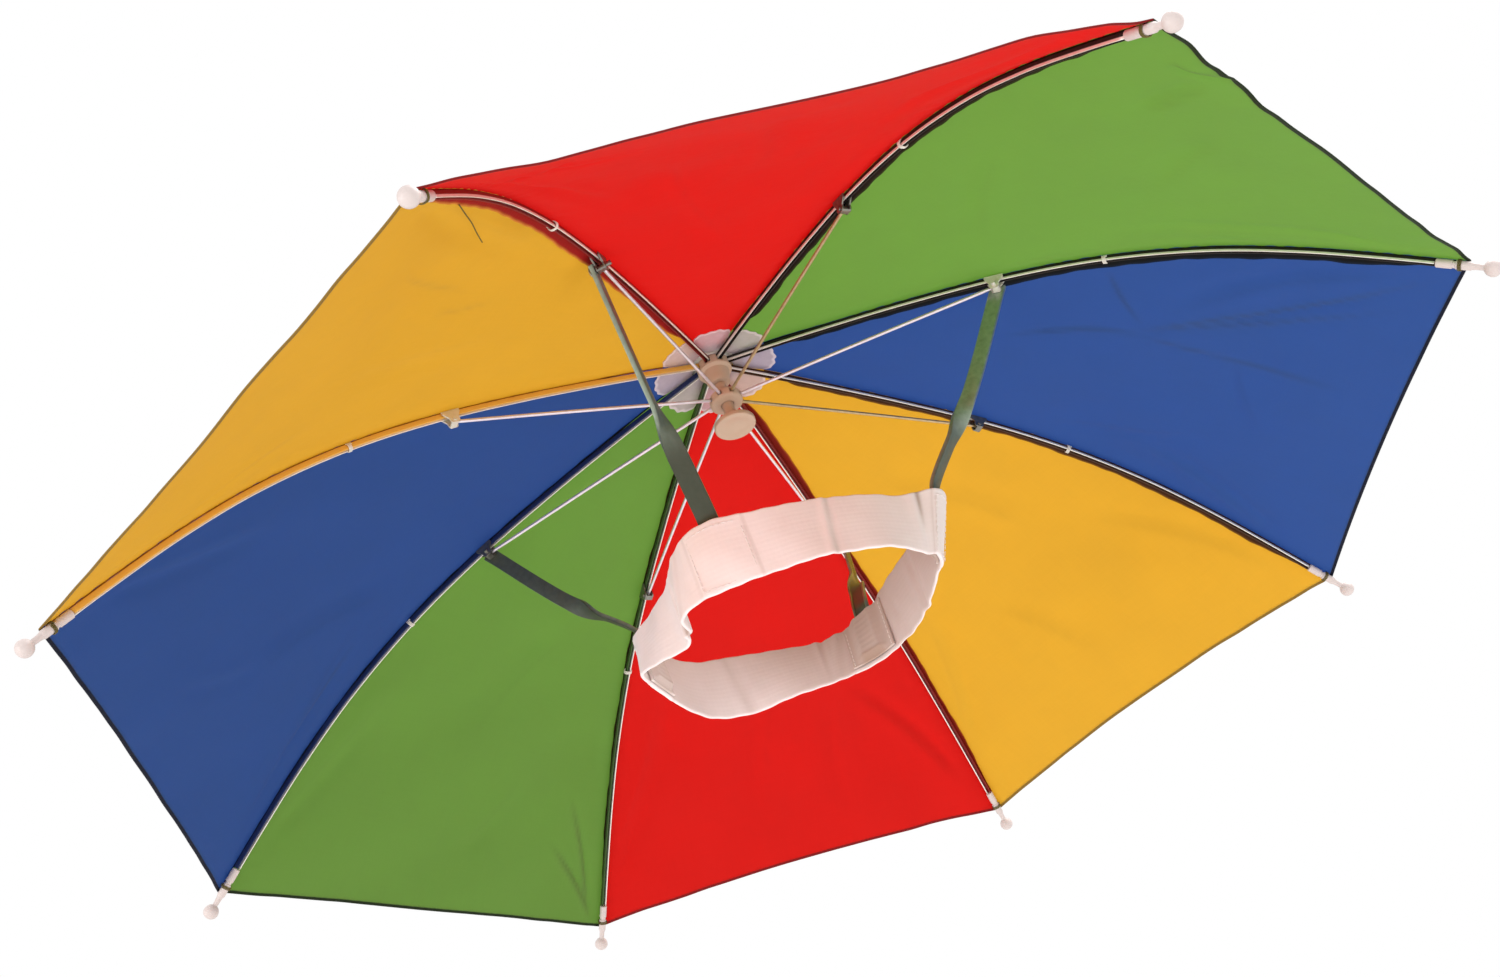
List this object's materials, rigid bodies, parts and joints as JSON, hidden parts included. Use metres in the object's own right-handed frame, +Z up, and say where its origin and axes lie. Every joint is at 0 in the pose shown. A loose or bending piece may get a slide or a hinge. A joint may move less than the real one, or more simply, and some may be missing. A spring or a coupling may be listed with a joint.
{
  "type": "umbrella hat",
  "caption": "Small open umbrella worn as a hat: coloured cloth panels on metal ribs, with bent metal legs down to a white elastic headband.",
  "frame": {"origin": "on the hat's axis, halfway up the elastic headband, where a head wears it", "axes": "+Z up along the hat's axis, +X over the first rib and its leg"},
  "size_m": [0.5762, 0.5762, 0.1472],
  "materials": {
    "panel_red": "thin woven polyester, light shines through",
    "panel_green": "thin woven polyester, light shines through",
    "panel_blue": "thin woven polyester, light shines through",
    "panel_yellow": "thin woven polyester, light shines through",
    "rib_steel": "thin bright zinc-plated channel",
    "clip_steel": "zinc-plated pressed sheet",
    "stretcher_wire": "bright drawn wire",
    "leg_steel": "smooth zinc-plated strip that mirrors the cloth",
    "rivet_steel": "bright rivet",
    "elastic": "knitted white elastic, matt",
    "rosette_cloth": "thin white cloth, light shines through",
    "tip_plastic": "moulded white plastic",
    "hub_plastic": "moulded off-white plastic, warm in the light of the canopy",
    "cap_plastic": "moulded white plastic"
  },
  "bodies": {
    "root": {"panel_1": "panel_red", "panel_2": "panel_green", "panel_3": "panel_blue", "panel_4": "panel_yellow", "panel_5": "panel_red", "panel_6": "panel_green", "panel_7": "panel_blue", "panel_8": "panel_yellow", "rib_1": "rib_steel", "joint_clip_1": "clip_steel", "stretcher_1": "stretcher_wire", "tip_1": "tip_plastic", "rib_2": "rib_steel", "joint_clip_2": "clip_steel", "stretcher_2": "stretcher_wire", "tip_2": "tip_plastic", "rib_3": "rib_steel", "joint_clip_3": "clip_steel", "stretcher_3": "stretcher_wire", "tip_3": "tip_plastic", "rib_4": "rib_steel", "joint_clip_4": "clip_steel", "stretcher_4": "stretcher_wire", "tip_4": "tip_plastic", "rib_5": "rib_steel", "joint_clip_5": "clip_steel", "stretcher_5": "stretcher_wire", "tip_5": "tip_plastic", "rib_6": "rib_steel", "joint_clip_6": "clip_steel", "stretcher_6": "stretcher_wire", "tip_6": "tip_plastic", "rib_7": "rib_steel", "joint_clip_7": "clip_steel", "stretcher_7": "stretcher_wire", "tip_7": "tip_plastic", "rib_8": "rib_steel", "joint_clip_8": "clip_steel", "stretcher_8": "stretcher_wire", "tip_8": "tip_plastic", "leg_1": "leg_steel", "leg_rivet_1": "rivet_steel", "pocket_1": "elastic", "leg_2": "leg_steel", "leg_rivet_2": "rivet_steel", "pocket_2": "elastic", "leg_3": "leg_steel", "leg_rivet_3": "rivet_steel", "pocket_3": "elastic", "leg_4": "leg_steel", "leg_rivet_4": "rivet_steel", "pocket_4": "elastic", "headband": "elastic", "rosette": "rosette_cloth", "top_notch": "hub_plastic", "runner": "hub_plastic", "end_disc": "hub_plastic", "top_cap": "cap_plastic"}
  },
  "joints": []
}
